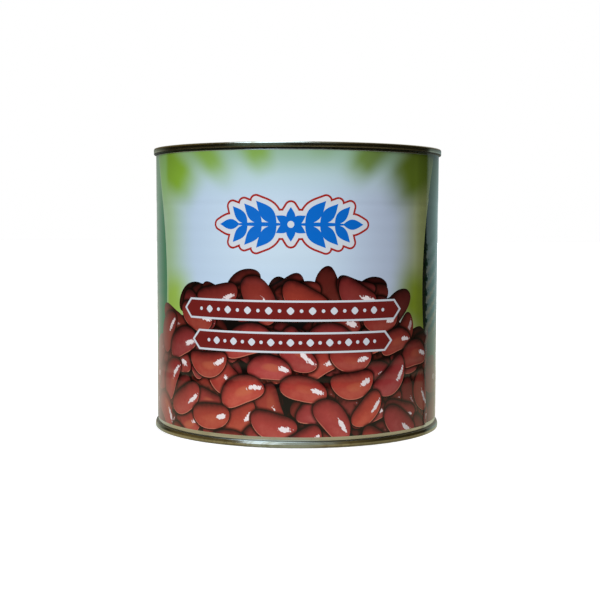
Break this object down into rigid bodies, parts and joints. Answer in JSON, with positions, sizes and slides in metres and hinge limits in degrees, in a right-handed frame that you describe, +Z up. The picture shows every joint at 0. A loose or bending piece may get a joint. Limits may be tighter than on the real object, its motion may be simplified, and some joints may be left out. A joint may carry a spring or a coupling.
{
  "type": "canned beans",
  "caption": "Sealed round catering can of red beans: tinplate body with a double-seamed end above and below, and a wrapped printed paper label.",
  "frame": {"origin": "centre of the base, on the plane that the can stands on", "axes": "+Z is up along the can's axis, and -Y is the side that the label's front faces"},
  "size_m": [0.157, 0.157, 0.151],
  "materials": {
    "tinplate": "bright rolled tinplate with a faint warm tone",
    "label_paper": "satin printed paper"
  },
  "bodies": {
    "root": {"can_body": "tinplate", "bottom_end": "tinplate", "top_end": "tinplate", "label": "label_paper"}
  },
  "joints": []
}
